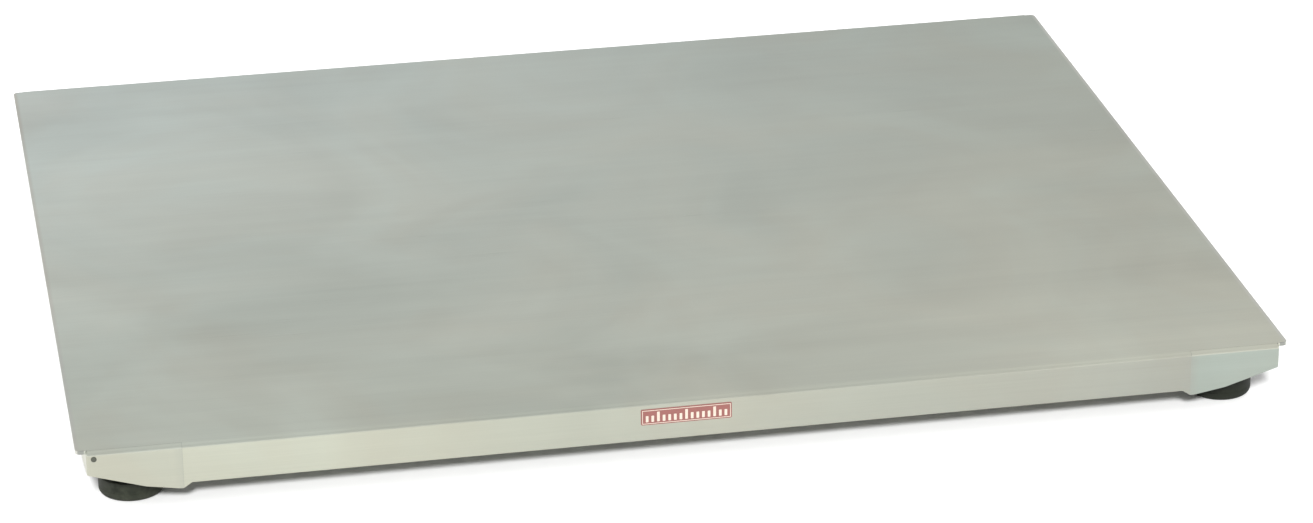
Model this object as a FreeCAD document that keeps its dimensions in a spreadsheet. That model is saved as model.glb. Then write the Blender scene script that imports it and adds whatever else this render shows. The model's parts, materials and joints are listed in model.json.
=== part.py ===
import FreeCAD, Part

import math
import os
import re

import Sketcher

# Low-profile animal weighing platform. Millimetres, origin on the floor under the middle of
# the platform: X along the long side, Y from the front skirt to the rear one, Z up.

DIMENSIONS = {
    "length": 1000,          # platform plate, long side
    "depth": 800,            # platform plate, front to rear
    "height": 56,            # floor to weighing surface, feet at their rest height
    "sheet": 3,              # plate and corner shoes
    "overhang": 8,           # plate past the side walls
    "bend": 4,               # outside radius of the folded edges
    "plan_round": 4,         # plate's corners, seen from above
    "seam": 0.2,             # dressed joint between neighbouring sheets
    "skirt_drop": 34,        # skirt's lower edge below the weighing surface
    "corner_run": 84,        # corner shoe, plate edge to inner seam
    "end_drop": 20,          # corner shoe's lower edge at its outer end
    "mid_run": 54,           # where the shoe's lower edge changes slope
    "mid_drop": 34,
    "deep_run": 80.5,        # where the shoe's lower edge levels off
    "deep_drop": 38.5,       # corner shoe's lower edge at its inner seam
    "step_run": 6.5,         # slanted step from the shoe's depth to the skirt's
    "fold": 2.5,             # side channel sheet
    "foot_inset_x": 45,      # foot axis from the plate's short edge
    "foot_inset_y": 44,      # foot axis from the plate's long edge
    "cell_length": 125,
    "cell_width": 30,
    "cell_height": 20,
    "cell_base": 24,         # underside of the load cell above the floor
    "cell_nose": 16,         # load cell's end to the foot axis
    "gauge_start": 38,       # gauge pocket, load cell's end to its near edge
    "gauge_length": 32,
    "gauge_height": 12,
    "gauge_depth": 8,
    "gauge_cap": 1.2,
    "cap_sink": 0.4,         # gauge cover below the cell's side
    "cell_round": 1.5,
    "lead_socket": 5,        # depth of the lead's hole in the cell's end
    "block_length": 46,
    "bolt_first": 90,        # load cell's end to the first mounting bolt
    "bolt_pitch": 24,
    "bolt_radius": 3.9,
    "bolt_hole": 4.1,
    "bolt_head": 7,
    "bolt_head_height": 4.4,
    "bolt_socket": 2.6,
    "bolt_clear": 0.4,       # bolt's end to the channel web
    "washer_radius": 8,
    "washer": 1.6,
    "cable_radius": 2.5,
    "cable_level": 40,       # cable centre line above the floor
    "cable_run": 150,        # cable's long run, from the middle of the platform
    "cable_entry": 30,       # cable's entry into the junction box, from its middle
    "cable_tail": 6,         # cable's end inside the junction box wall's outer face
    "cell_arc": 38,          # cable's arc beside the load cell
    "box_arc": 30,           # cable's arc before the junction box
    "window_half": 8,        # cable window in the side channel
    "window_rise": 5,
    "clip_near": 150,        # clips along the long run, from the middle
    "clip_far": 320,
    "clip_half": 5,
    "clip_side": 6,
    "stem_radius": 5,
    "stem_bore": 5.08,
    "stem_top": 42,
    "stem_lead": 1,          # chamfer at the stem's top
    "stem_neck": 4.2,
    "stem_socket": 5.5,
    "ball_level": 12.5,
    "ball_radius": 6.5,
    "seat_bore": 6.75,
    "seat_radius": 8.4,
    "seat_rise": 3.2,
    "seat_slit": 1,
    "socket_radius": 8.65,
    "ring_radius": 10.95,
    "ring_low": 0.7,
    "ring_high": 3.5,
    "ring_pocket": 11.25,
    "pocket_low": 0.6,
    "foot_radius": 26.5,
    "cup_spigot": 24,
    "cup_low": 2,
    "cup_split": 7,
    "cup_top": 16.5,
    "cup_round": 1.2,
    "sole_round": 4,
    "nut_flats": 16,
    "nut_height": 5,
    "nut_gap": 0.3,
    "rib_sheet": 2,
    "rib_base": 30,
    "rib_half": 20,
    "rib_flange": 15,
    "rib_gap": 1,            # rib's end to the seam line of the corner shoes
    "rib_inner": 100,
    "rib_outer": 270,
    "notch_half": 10,
    "notch_low": 34,
    "notch_shift": 3,
    "box_half_x": 55,
    "box_half_y": 35,
    "box_wall": 2.5,
    "box_round": 4,
    "box_base": 28,
    "lid": 2.5,
    "boss_radius": 4,
    "boss_inset": 6,
    "boss_bore": 12,
    "screw_radius": 1.4,
    "screw_length": 11,
    "screw_head": 1.8,
    "screw_socket": 1.2,
    "board_level": 44,
    "board": 1.6,
    "board_half_x": 43,
    "board_half_y": 24,
    "terminal_inset": 6,     # terminal block's middle from the board's edge
    "terminal_width": 8,
    "terminal_length": 18,
    "terminal_height": 8,
    "chip_half": 7,
    "chip_length": 18,
    "chip_height": 3,
    "gland_hole": 4.2,
    "gland_neck": 4.1,
    "gland_thread": 3.5,
    "gland_flats": 11,
    "gland_hexagon": 4,
    "gland_dome": 5,
    "outlet_level": 38,
    "outlet_hole": 7,
    "outlet_bore": 3,
    "outlet_flange": 9.5,
    "outlet_lip": 3,
    "clamp_inset": 28,       # clamp's rear face from the rear skirt
    "clamp_length": 12,
    "clamp_half": 11,
    "clamp_drop": 7,
    "clamp_round": 3,
    "badge_length": 75,
    "badge_height": 14,
    "badge_sheet": 0.6,
    "badge_shift": 8.5,      # badge centre, left of the middle
    "badge_drop": 13.4,      # badge centre below the weighing surface
    "plug_inset": 14,        # plug centre from the plate's short edge
    "plug_drop": 6.3,        # plug centre below the weighing surface
    "plug_radius": 2.3,
    "plug_face": 0.6,
    "plug_shank": 1.84,
    "running_gap": 0.05,     # radial room round a piece in its bore
}

CORNERS = {"fl": (-1, -1), "fr": (1, -1), "rl": (-1, 1), "rr": (1, 1)}
SIDES = {"left": -1, "right": 1}
RIBS = {"1": "-rib_outer", "2": "-rib_inner", "3": "rib_inner", "4": "rib_outer"}

FOOT_X = "(length / 2 - foot_inset_x)"
FOOT_Y = "(depth / 2 - foot_inset_y)"
WALL_X = "(length / 2 - overhang)"          # outer face of a side wall
SHOE_X = "(length / 2 - corner_run)"        # seam between shoe and skirt
SHOE_Y = "(depth / 2 - corner_run)"
UNDERSIDE = "(height - sheet)"

doc = FreeCAD.newDocument("weighing_platform")
dims = doc.addObject("Spreadsheet::Sheet", "dims")
for row, (alias, value) in enumerate(DIMENSIONS.items(), start=1):
    dims.set("A%d" % row, alias)
    dims.set("B%d" % row, str(value))
    dims.setAlias("B%d" % row, alias)
doc.recompute()

parts = {}


def size(expression):
    """The same expression with each dimension's name pointing at its cell."""
    return re.sub("[a-z_]+", lambda word: "dims." + word[0] if word[0] in DIMENSIONS else word[0],
                  str(expression))


def number(expression):
    """What an expression comes to, in millimetres."""
    value = dims.evalExpression(size(expression))
    return float(getattr(value, "Value", value))


def bind(feature, **sizes):
    """Tie a feature's properties to expressions; x, y and z stand for its position."""
    for name, expression in sizes.items():
        path = "Placement.Base." + name if name in ("x", "y", "z") else name
        feature.setExpression(path, size(expression))
    return feature


def keep(label, feature):
    """Register a finished sub-part under its own label."""
    feature.Label = label
    parts[label] = feature
    return feature


# --- sketched bodies -------------------------------------------------------------------------

def new_body(label):
    return doc.addObject("PartDesign::Body", "body_" + label)


def new_sketch(body, plane, start):
    """A sketch on one of the body's own planes, moved along +X, +Y or +Z by start."""
    sketch = body.newObject("Sketcher::SketchObject", body.Name + "_sketch")
    support = next(item for item in body.Origin.OriginFeatures if item.Role == plane + "_Plane")
    sketch.AttachmentSupport = (support, [""])
    sketch.MapMode = "FlatFace"
    sign = "-1" if plane == "XZ" else "1"
    sketch.setExpression("AttachmentOffset.Base.z", size("%s * (%s)" % (sign, start)))
    return sketch


def dimension(sketch, kind, expression, *where):
    """A driving constraint bound to an expression."""
    index = sketch.addConstraint(Sketcher.Constraint(kind, *where, number(expression)))
    sketch.setExpression("Constraints[%d]" % index, size(expression))


def outline(body, plane, start, corners):
    """A closed outline with straight sides."""
    sketch = new_sketch(body, plane, start)
    places = [FreeCAD.Vector(number(across), number(up), 0) for across, up in corners]
    count = len(places)
    for index in range(count):
        sketch.addGeometry(Part.LineSegment(places[index], places[(index + 1) % count]), False)
    for index in range(count):
        sketch.addConstraint(Sketcher.Constraint("Coincident", index, 2, (index + 1) % count, 1))
    for index, (across, up) in enumerate(corners):
        dimension(sketch, "DistanceX", across, -1, 1, index, 1)
        dimension(sketch, "DistanceY", up, -1, 1, index, 1)
    return sketch


def circle(body, plane, start, across, up, radius):
    sketch = new_sketch(body, plane, start)
    centre = FreeCAD.Vector(number(across), number(up), 0)
    sketch.addGeometry(Part.Circle(centre, FreeCAD.Vector(0, 0, 1), number(radius)), False)
    dimension(sketch, "DistanceX", across, -1, 1, 0, 3)
    dimension(sketch, "DistanceY", up, -1, 1, 0, 3)
    dimension(sketch, "Radius", radius, 0)
    return sketch


def pad(body, sketch, length, plane):
    """Material from the sketch towards +X, +Y or +Z."""
    feature = body.newObject("PartDesign::Pad", body.Name + "_pad")
    feature.Profile = sketch
    feature.Reversed = plane == "XZ"
    bind(feature, Length=length)
    doc.recompute()
    return feature


def pocket(body, sketch, length, plane):
    """A cut from the sketch towards +X, +Y or +Z, checked to have removed something."""
    before = body.Shape.Volume
    feature = body.newObject("PartDesign::Pocket", body.Name + "_pocket")
    feature.Profile = sketch
    feature.Reversed = plane != "XZ"
    bind(feature, Length=length)
    doc.recompute()
    if body.Shape.Volume > before - 1e-3:
        raise RuntimeError("a pocket in %s cuts nothing" % body.Name)
    return feature


def slab(body, plane, start, length, corners):
    return pad(body, outline(body, plane, start, corners), length, plane)


def cutout(body, plane, start, length, corners):
    return pocket(body, outline(body, plane, start, corners), length, plane)


def disc(body, plane, start, length, across, up, radius):
    return pad(body, circle(body, plane, start, across, up, radius), length, plane)


def hole(body, plane, start, length, across, up, radius):
    return pocket(body, circle(body, plane, start, across, up, radius), length, plane)


def rectangle(low_across, low_up, high_across, high_up):
    """Corners of an upright rectangle between two opposite ones."""
    return [(low_across, low_up), (high_across, low_up), (high_across, high_up), (low_across, high_up)]


def turned(label, corners):
    """A body of revolution about Z from its half section: radius, height."""
    body = new_body(label)
    sketch = outline(body, "XZ", "0", corners)
    feature = body.newObject("PartDesign::Revolution", body.Name + "_turned")
    feature.Profile = sketch
    feature.ReferenceAxis = (sketch, ["V_Axis"])
    feature.Angle = 360
    doc.recompute()
    return body


def soften(body, radius, chosen):
    """Round the edges whose middle point passes the test."""
    tip = body.Tip
    names = []
    for index, edge in enumerate(tip.Shape.Edges, start=1):
        if chosen(edge.valueAt((edge.FirstParameter + edge.LastParameter) / 2)):
            names.append("Edge%d" % index)
    feature = body.newObject("PartDesign::Fillet", body.Name + "_round")
    feature.Base = (tip, names)
    bind(feature, Radius=radius)
    doc.recompute()
    return feature


# --- primitives ------------------------------------------------------------------------------

def cylinder(name, radius, height, **place):
    return bind(doc.addObject("Part::Cylinder", name), Radius=radius, Height=height, **place)


def box(name, length, width, height, **place):
    return bind(doc.addObject("Part::Box", name), Length=length, Width=width, Height=height, **place)


def ball(name, radius, low=None, high=None, **place):
    """A ball, cut flat at heights low and high from its centre when these are given."""
    feature = bind(doc.addObject("Part::Sphere", name), Radius=radius, **place)
    if low is not None:
        bind(feature, Angle1="asin((%s) / (%s))" % (low, radius))
    if high is not None:
        bind(feature, Angle2="asin((%s) / (%s))" % (high, radius))
    return feature


def hexagon(name, flats, height, **place):
    feature = doc.addObject("Part::Prism", name)
    feature.Polygon = 6
    return bind(feature, Circumradius="%s / sqrt(3)" % flats, Height=height, **place)


def less(name, base, *tools):
    """The base with the tools taken away."""
    for index, tool in enumerate(tools):
        result = doc.addObject("Part::Cut", "%s_cut%d" % (name, index))
        result.Base = base
        result.Tool = tool
        base = result
    return base


def joined(name, *shapes):
    result = doc.addObject("Part::MultiFuse", name + "_joined")
    result.Shapes = list(shapes)
    return result


def group(label, members):
    """Identical loose pieces that share one node."""
    result = doc.addObject("Part::Compound", "group_" + label)
    result.Links = members
    return keep(label, result)


def at_foot(feature, corner):
    """Stand a piece drawn about its own axis on a corner's foot axis, rear ones turned round."""
    across, along = CORNERS[corner]
    bind(feature, x="%d * %s" % (across, FOOT_X), y="%d * %s" % (along, FOOT_Y))
    feature.Placement.Rotation = FreeCAD.Rotation(FreeCAD.Vector(0, 0, 1), 180 if along > 0 else 0)
    return feature


# --- platform --------------------------------------------------------------------------------

def top_plate():
    """Flat plate whose front and rear edges fold down into skirts between the corner shoes."""
    body = new_body("top_plate")
    edge = "depth / 2"                        # the folded middle reaches further than the ends
    notch = "(depth / 2 - bend)"
    quarter = [("length / 2", notch), (SHOE_X, notch), (SHOE_X, edge)]
    corners = list(quarter)
    corners += [("-1 * (%s)" % x, y) for x, y in reversed(quarter)]
    corners += [("-1 * (%s)" % x, "-1 * (%s)" % y) for x, y in quarter]
    corners += [(x, "-1 * (%s)" % y) for x, y in reversed(quarter)]
    slab(body, "XY", UNDERSIDE, "sheet", corners)
    deep = "height - deep_drop"
    level = "height - skirt_drop"
    skirt = [("-%s" % SHOE_X, "height - sheet"), ("-%s" % SHOE_X, deep),
             ("-%s + step_run" % SHOE_X, level), ("%s - step_run" % SHOE_X, level),
             (SHOE_X, deep), (SHOE_X, "height - sheet")]
    slab(body, "XZ", "-depth / 2", "sheet", skirt)
    slab(body, "XZ", "depth / 2 - sheet", "sheet", skirt)
    half_length = number("length / 2")
    half_depth = number("depth / 2")
    top = number("height")
    inner = number(UNDERSIDE)
    thick = number("sheet")
    seam = number(SHOE_X)
    soften(body, "plan_round", lambda p: abs(abs(p.x) - half_length) < 0.01
           and abs(abs(p.y) - half_depth + number("bend")) < 0.01)

    def fold(outside):
        inset, level = (0, top) if outside else (thick, inner)
        return lambda p: (abs(p.x) < seam - 1 and abs(abs(p.y) - half_depth + inset) < 0.01
                          and abs(p.z - level) < 0.01)

    soften(body, "bend - sheet", fold(False))
    soften(body, "bend", fold(True))
    hole(body, "XZ", "depth / 2 - sheet", "sheet", "0", "outlet_level", "outlet_hole")
    return keep("top_plate", body)


def taper(sign, half, inset, lift):
    """Outline of a shoe's cheek: its lower edge drops from the outer end to the inner seam.

    half is the plate's half size along the cheek, and inset is how far the cheek's end stands in.
    """
    reached = "%d * (%s - (%s))"
    end, seam = reached % (sign, half, inset), reached % (sign, half, "corner_run - seam")
    return [(end, lift), (end, "height - end_drop"), (reached % (sign, half, "mid_run"), "height - mid_drop"),
            (reached % (sign, half, "deep_run"), "height - deep_drop"), (seam, "height - deep_drop"),
            (seam, lift)]


def corner_shoe(corner):
    """Folded corner sheet with a front and a side cheek that drop towards their inner seams."""
    across, along = CORNERS[corner]
    body = new_body("corner_shoe_" + corner)
    cheek = taper(across, "length / 2", "overhang", "height - bend")
    near = "%d * depth / 2 - %d * sheet" % (along, 1 if along > 0 else 0)
    slab(body, "XZ", near, "sheet", cheek)
    strip_x = ["%d * %s" % (across, WALL_X), "%d * (%s + seam)" % (across, SHOE_X)]
    edge_y = "%d * depth / 2" % along
    inner_y = "%d * (depth / 2 - sheet)" % along
    notch_y = "%d * (depth / 2 - bend + seam)" % along
    slab(body, "XY", "height - bend", "bend", rectangle(strip_x[0], edge_y, strip_x[1], inner_y))
    slab(body, "XY", UNDERSIDE, "sheet", rectangle(strip_x[0], edge_y, strip_x[1], notch_y))
    side = taper(along, "depth / 2", "0", UNDERSIDE)
    low_x = "%d * %s - %d * sheet" % (across, WALL_X, 1 if across > 0 else 0)
    slab(body, "YZ", low_x, "sheet", side)
    half_depth = number("depth / 2")
    wall = number(WALL_X)
    top = number("height")
    soften(body, "bend - 1.5 * seam", lambda p: (abs(abs(p.y) - half_depth) < 0.01
                                                 and abs(p.z - top) < 0.01))
    soften(body, "bend / 2", lambda p: (abs(abs(p.y) - half_depth) < 0.01
                                        and abs(abs(p.x) - wall) < 0.01 and p.z < top - number("bend")))
    if corner == "fl":
        hole(body, "XZ", "-depth / 2", "sheet", "plug_inset - length / 2",
             "height - plug_drop", "plug_shank + running_gap")
    return keep("corner_shoe_" + corner, body)


def side_channel(side):
    """Folded channel under a short side: web on the plate, inner wall and outer wall."""
    sign = SIDES[side]
    body = new_body("side_channel_" + side)
    inner = "%d * (%s + seam)" % (sign, SHOE_X)
    shoe = "%d * (%s - sheet - seam)" % (sign, WALL_X)
    outer = "%d * %s" % (sign, WALL_X)
    reach = "(depth / 2 - bend - seam)"
    web = [(inner, "-" + reach), (shoe, "-" + reach), (shoe, "-" + SHOE_Y), (outer, "-" + SHOE_Y),
           (outer, SHOE_Y), (shoe, SHOE_Y), (shoe, reach), (inner, reach)]
    slab(body, "XY", "height - sheet - fold", "fold", web)
    low = "height - skirt_drop"
    wall = [("-" + reach, low), (reach, low), (reach, "height - sheet"), ("-" + reach, "height - sheet")]
    start = "%s + seam" % SHOE_X if sign > 0 else "-%s - seam - fold" % SHOE_X
    slab(body, "YZ", start, "fold", wall)
    wall = rectangle("-" + SHOE_Y, low, SHOE_Y, "height - sheet")
    start = "%s - fold" % WALL_X if sign > 0 else "-" + WALL_X
    slab(body, "YZ", start, "fold", wall)
    window = "%s + seam" % SHOE_X if sign > 0 else "-%s - seam - fold" % SHOE_X
    for end in (-1, 1):
        middle = "%d * cable_run" % end
        cutout(body, "YZ", window, "fold", rectangle(
            middle + " - window_half", "cable_level - window_rise",
            middle + " + window_half", "cable_level + window_rise"))
    return keep("side_channel_" + side, body)


def stiffener(name, middle):
    """Hat-section rib welded under the plate; the inner ribs let the cables through."""
    body = new_body("stiffener_" + name)
    high = UNDERSIDE
    half = [("rib_half + rib_flange", high), ("rib_half + rib_flange", "%s - rib_sheet" % high),
            ("rib_half", "%s - rib_sheet" % high), ("rib_half", "rib_base")]
    inside = [("rib_half - rib_sheet", "rib_base + rib_sheet"), ("rib_half - rib_sheet", high)]
    right = [("%s + %s" % (middle, y), z) for y, z in half]
    left = [("%s - (%s)" % (middle, y), z) for y, z in reversed(half)]
    hollow_left = [("%s - (%s)" % (middle, y), z) for y, z in reversed(inside)]
    hollow_right = [("%s + %s" % (middle, y), z) for y, z in inside]
    slab(body, "YZ", "rib_gap - %s" % SHOE_X, "2 * (%s - rib_gap)" % SHOE_X,
         right + left + hollow_left + hollow_right)
    if "inner" in middle:
        for side in (-1, 1):
            centre = "%d * (cable_entry + notch_shift)" % side
            cutout(body, "XY", "notch_low", "height - notch_low", rectangle(
                centre + " - notch_half", middle + " - rib_half - rib_flange",
                centre + " + notch_half", middle + " + rib_half + rib_flange"))
    return keep("stiffener_" + name, body)


def badge():
    """Plain name-plate blank on the front skirt."""
    body = new_body("badge")
    low = "height - badge_drop - badge_height / 2"
    slab(body, "XZ", "-depth / 2 - badge_sheet", "badge_sheet", rectangle(
        "-badge_shift - badge_length / 2", low, "badge_length / 2 - badge_shift", low + " + badge_height"))
    return keep("badge", body)


def corner_plug():
    """Small push-in plug in the front left shoe."""
    body = new_body("corner_plug")
    middle = "plug_inset - length / 2"
    level = "height - plug_drop"
    disc(body, "XZ", "-depth / 2 - plug_face", "plug_face", middle, level, "plug_radius")
    disc(body, "XZ", "-depth / 2", "sheet + plug_face", middle, level, "plug_shank")
    return keep("corner_plug", body)


# --- load cells ------------------------------------------------------------------------------

def load_cell(corner):
    """Beam with a foot bore at its nose, a gauge pocket on each side and two mounting holes."""
    body = new_body("load_cell_" + corner)
    half = "cell_width / 2"
    slab(body, "XY", "cell_base", "cell_height", rectangle(
        "-" + half, "-cell_nose", half, "cell_length - cell_nose"))
    ends = (number("cell_base") + 1, number("cell_base + cell_height") - 1)
    soften(body, "cell_round", lambda p: (abs(abs(p.x) - number(half)) < 0.01
                                          and ends[0] < p.z < ends[1]))
    hole(body, "XY", "cell_base", "cell_height", "0", "0", "stem_bore")
    middle = "cell_base + cell_height / 2"
    start = "gauge_start - cell_nose"
    recess = rectangle(start, middle + " - gauge_height / 2", start + " + gauge_length",
                       middle + " + gauge_height / 2")
    cutout(body, "YZ", "-" + half, "gauge_depth", recess)
    cutout(body, "YZ", half + " - gauge_depth", "gauge_depth", recess)
    for step in ("0", "bolt_pitch"):
        hole(body, "XY", "cell_base", "cell_height", "0", "bolt_first - cell_nose + " + step, "bolt_hole")
    hole(body, "XZ", "cell_length - cell_nose - lead_socket", "lead_socket", "0", "cable_level",
         "cable_radius + 2 * running_gap")
    return keep("load_cell_" + corner, at_foot(body, corner))


def cell_caps(corner):
    """Covers let into the two gauge pockets, over the potting."""
    low = "cell_base + cell_height / 2 - gauge_height / 2 + seam / 2"
    covers = []
    for side in (-1, 1):
        name = "cap_%s_%d" % (corner, side + 1)
        shift = "cell_width / 2 - gauge_cap - cap_sink" if side > 0 else "cap_sink - cell_width / 2"
        cover = box(name, "gauge_cap", "gauge_length - seam", "gauge_height - seam",
                    x=shift, y="gauge_start - cell_nose + seam / 2", z=low)
        covers.append(cover)
    pair = doc.addObject("Part::Compound", "caps_" + corner)
    pair.Links = covers
    return at_foot(pair, corner)


def mount_block(corner):
    """Tapped block welded under the channel web; the cell's fixed end bolts to it."""
    body = new_body("mount_block_" + corner)
    far = "cell_length - cell_nose"
    base = "cell_base + cell_height"
    rise = "height - sheet - fold - cell_base - cell_height"
    slab(body, "XY", base, rise, rectangle(
        "-cell_width / 2", far + " - block_length", "cell_width / 2", far))
    for step in ("0", "bolt_pitch"):
        hole(body, "XY", base, rise, "0", "bolt_first - cell_nose + " + step, "bolt_radius + running_gap")
    return keep("mount_block_" + corner, at_foot(body, corner))


def cell_bolts(corner):
    """The cell's two bolts, heads down."""
    made = []
    for index, step in enumerate(("0", "bolt_pitch")):
        name = "bolt_%s_%d" % (corner, index)
        along = "bolt_first - cell_nose + " + step
        base = "cell_base - washer"
        shank = cylinder(name + "_shank", "bolt_radius",
                         "height - sheet - fold - cell_base + washer - bolt_clear", y=along, z=base)
        head = cylinder(name + "_head", "bolt_head", "bolt_head_height", y=along,
                        z=base + " - bolt_head_height")
        socket = hexagon(name + "_socket", "1.5 * bolt_radius", "bolt_socket", y=along,
                         z=base + " - bolt_head_height")
        made.append(less(name, joined(name, shank, head), socket))
    pair = doc.addObject("Part::Compound", "bolts_" + corner)
    pair.Links = made
    return at_foot(pair, corner)


def cell_washers(corner):
    made = []
    for index, step in enumerate(("0", "bolt_pitch")):
        name = "washer_%s_%d" % (corner, index)
        place = {"y": "bolt_first - cell_nose + " + step, "z": "cell_base - washer"}
        ring = cylinder(name + "_disc", "washer_radius", "washer", **place)
        made.append(less(name, ring, cylinder(name + "_hole", "bolt_hole", "washer", **place)))
    pair = doc.addObject("Part::Compound", "washers_" + corner)
    pair.Links = made
    return at_foot(pair, corner)


# --- feet ------------------------------------------------------------------------------------

def lock_nut(corner):
    """Thin hexagon nut that locks the stem against the load cell."""
    name = "lock_nut_" + corner
    place = {"z": "cell_base - nut_gap - nut_height"}
    blank = hexagon(name + "_blank", "nut_flats", "nut_height", **place)
    nut = less(name, blank, cylinder(name + "_bore", "stem_bore", "nut_height", **place))
    return keep(name, at_foot(nut, corner))


def foot_stem(corner):
    """Adjusting stem with a ball at its lower end."""
    name = "foot_stem_" + corner
    ball_end = ball(name + "_ball", "ball_radius", z="ball_level")
    shank = cylinder(name + "_shank", "stem_radius", "stem_top - ball_level - stem_lead", z="ball_level")
    tip = doc.addObject("Part::Cone", name + "_tip")
    bind(tip, Radius1="stem_radius", Radius2="stem_neck", Height="stem_lead", z="stem_top - stem_lead")
    socket = hexagon(name + "_socket", "stem_radius", "stem_socket", z="stem_top - stem_socket")
    stem = less(name, joined(name, ball_end, shank, tip), socket)
    return keep(name, at_foot(stem, corner))


def ball_seat(corner):
    """Split bush around the ball; it moves up and down with the stem and never turns."""
    name = "ball_seat_" + corner
    shell = ball(name + "_shell", "seat_radius", high="seat_rise", z="ball_level")
    inside = ball(name + "_bore", "seat_bore", z="ball_level")
    slit = box(name + "_slit", "seat_slit", "seat_radius", "2 * seat_radius", x="-seat_slit / 2",
               z="ball_level - seat_bore / 2")
    return keep(name, at_foot(less(name, shell, inside, slit), corner))


def retaining_ring(corner):
    """Ring that snaps into the cup over the bush."""
    name = "retaining_ring_" + corner
    outside = ball(name + "_outside", "ring_radius", low="ring_low", high="ring_high", z="ball_level")
    inside = ball(name + "_inside", "socket_radius", z="ball_level")
    return keep(name, at_foot(less(name, outside, inside), corner))


def foot_cup(corner):
    """Moulded foot with a spherical socket and a spigot for the rubber sole."""
    name = "foot_cup_" + corner
    body = turned(name, [("0", "cup_low"), ("cup_spigot", "cup_low"), ("cup_spigot", "cup_split"),
                         ("foot_radius", "cup_split"), ("foot_radius", "cup_top"), ("0", "cup_top")])
    top = number("cup_top")
    soften(body, "cup_round", lambda p: abs(p.z - top) < 0.01)
    socket = ball(name + "_socket", "socket_radius", z="ball_level")
    snap = ball(name + "_snap", "ring_pocket", low="-pocket_low", z="ball_level")
    return keep(name, at_foot(less(name, body, socket, snap), corner))


def foot_sole(corner):
    """Rubber boot under the cup, rounded at the floor."""
    name = "foot_sole_" + corner
    body = turned(name, [("0", "0"), ("foot_radius", "0"), ("foot_radius", "cup_split"),
                         ("cup_spigot", "cup_split"), ("cup_spigot", "cup_low"), ("0", "cup_low")])
    soften(body, "sole_round", lambda p: p.z < 0.01)
    return keep(name, at_foot(body, corner))


# --- wiring ----------------------------------------------------------------------------------

def arc_route(points, radii):
    """A wire of straight runs joined by tangent arcs."""
    edges = []
    start = points[0]
    for index, radius in enumerate(radii, start=1):
        back = (points[index - 1] - points[index]).normalize()
        ahead = (points[index + 1] - points[index]).normalize()
        first = points[index] + back * radius          # every turn is a right angle
        last = points[index] + ahead * radius
        centre = points[index] + (back + ahead) * radius
        middle = centre + (points[index] - centre).normalize() * radius
        edges.append(Part.LineSegment(start, first).toShape())
        edges.append(Part.Arc(first, middle, last).toShape())
        start = last
    edges.append(Part.LineSegment(start, points[-1]).toShape())
    return Part.Wire(edges)


def cell_cable(corner):
    """Load-cell lead, clipped all the way to the junction box."""
    across, along = CORNERS[corner]
    level = number("cable_level")
    foot = number(FOOT_X)
    run = number("cable_run")
    entry = number("cable_entry")
    cell_end = number("%s - (cell_length - cell_nose)" % FOOT_Y)
    plan = [(foot, cell_end + number("lead_socket - 1")), (foot, run), (entry, run),
            (entry, number("box_half_y - cable_tail"))]
    points = [FreeCAD.Vector(across * x, along * y, level) for x, y in plan]
    radii = [number("cell_arc"), number("box_arc")]
    route = arc_route(points, radii)
    radius = number("cable_radius")
    section = Part.Wire(Part.makeCircle(radius, points[0], points[1] - points[0]))
    lead = route.makePipeShell([section], True, False)
    expected = math.pi * radius ** 2 * route.Length
    if abs(lead.Volume - expected) > 0.01 * expected:
        raise RuntimeError("the lead %s has the wrong volume" % corner)
    print("lead %s: %.0f mm long, arcs of %.0f and %.0f mm" % (corner, route.Length, *radii))
    feature = doc.addObject("Part::Feature", "lead_" + corner)
    feature.Shape = lead
    return keep("cell_cable_" + corner, feature)


def cable_clips():
    """Saddles under the plate that hold the leads' long runs."""
    made = []
    for corner, (across, along) in CORNERS.items():
        for reach in ("clip_near", "clip_far"):
            middle_y = "%d * cable_run" % along
            start = "%d * %s - clip_half" % (across, reach)
            body = new_body("%s_%s" % (reach, corner))
            slab(body, "YZ", start, "2 * clip_half", rectangle(
                middle_y + " - clip_side", "cable_level - clip_half", middle_y + " + clip_side", UNDERSIDE))
            hole(body, "YZ", start, "2 * clip_half", middle_y, "cable_level", "cable_radius + running_gap")
            made.append(body)
    return group("cable_clips", made)


# --- junction box ----------------------------------------------------------------------------

def box_corner(point):
    """True on an upright corner of the junction box or its lid."""
    return (abs(abs(point.x) - number("box_half_x")) < 0.01
            and abs(abs(point.y) - number("box_half_y")) < 0.01)


def junction_box():
    """Moulded tub under the middle of the plate, open downwards, with a boss in each corner."""
    body = new_body("junction_box")
    slab(body, "XY", "box_base", UNDERSIDE + " - box_base",
         rectangle("-box_half_x", "-box_half_y", "box_half_x", "box_half_y"))
    soften(body, "box_round", box_corner)
    cutout(body, "XY", "box_base", UNDERSIDE + " - box_base - box_wall", rectangle(
        "box_wall - box_half_x", "box_wall - box_half_y", "box_half_x - box_wall", "box_half_y - box_wall"))
    for across in (-1, 1):
        for along in (-1, 1):
            x = "%d * (box_half_x - boss_inset)" % across
            y = "%d * (box_half_y - boss_inset)" % along
            disc(body, "XY", "box_base", UNDERSIDE + " - box_base - 1", x, y, "boss_radius")
            hole(body, "XY", "box_base", "boss_bore", x, y, "screw_radius + running_gap")
    for along in (-1, 1):
        start = "%d * (box_half_y - box_wall / 2) - box_wall / 2" % along
        for across in (-1, 1):
            hole(body, "XZ", start, "box_wall", "%d * cable_entry" % across, "cable_level", "gland_hole")
    hole(body, "YZ", "box_half_x - box_wall", "box_wall", "0", "cable_level", "gland_hole")
    return keep("junction_box", body)


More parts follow.
